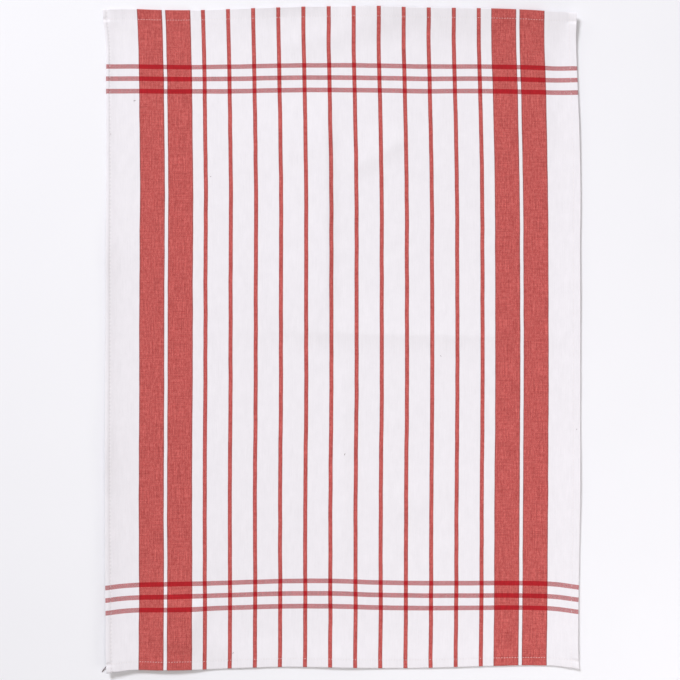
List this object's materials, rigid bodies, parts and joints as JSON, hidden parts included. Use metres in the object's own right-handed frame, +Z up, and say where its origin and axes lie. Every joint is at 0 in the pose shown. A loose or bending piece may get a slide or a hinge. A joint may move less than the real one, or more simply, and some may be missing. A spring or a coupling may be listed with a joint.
{
  "type": "tea towel",
  "caption": "Rectangular woven cotton cloth for drying dishes, hemmed on all sides, laid out flat and face up.",
  "frame": {"origin": "under the middle of the laid towel's box, on the plane that it lies on", "axes": "+Y along the towel's length, towards the end at the top of the picture; +X across it; +Z up out of its face"},
  "size_m": [0.5014, 0.6994, 0.0084],
  "materials": {
    "cotton": "plain-woven bleached cotton with yarn-dyed red stripes, matt",
    "thread": "white sewing thread, slightly glossy"
  },
  "bodies": {
    "root": {"towel": "cotton"}
  },
  "joints": []
}
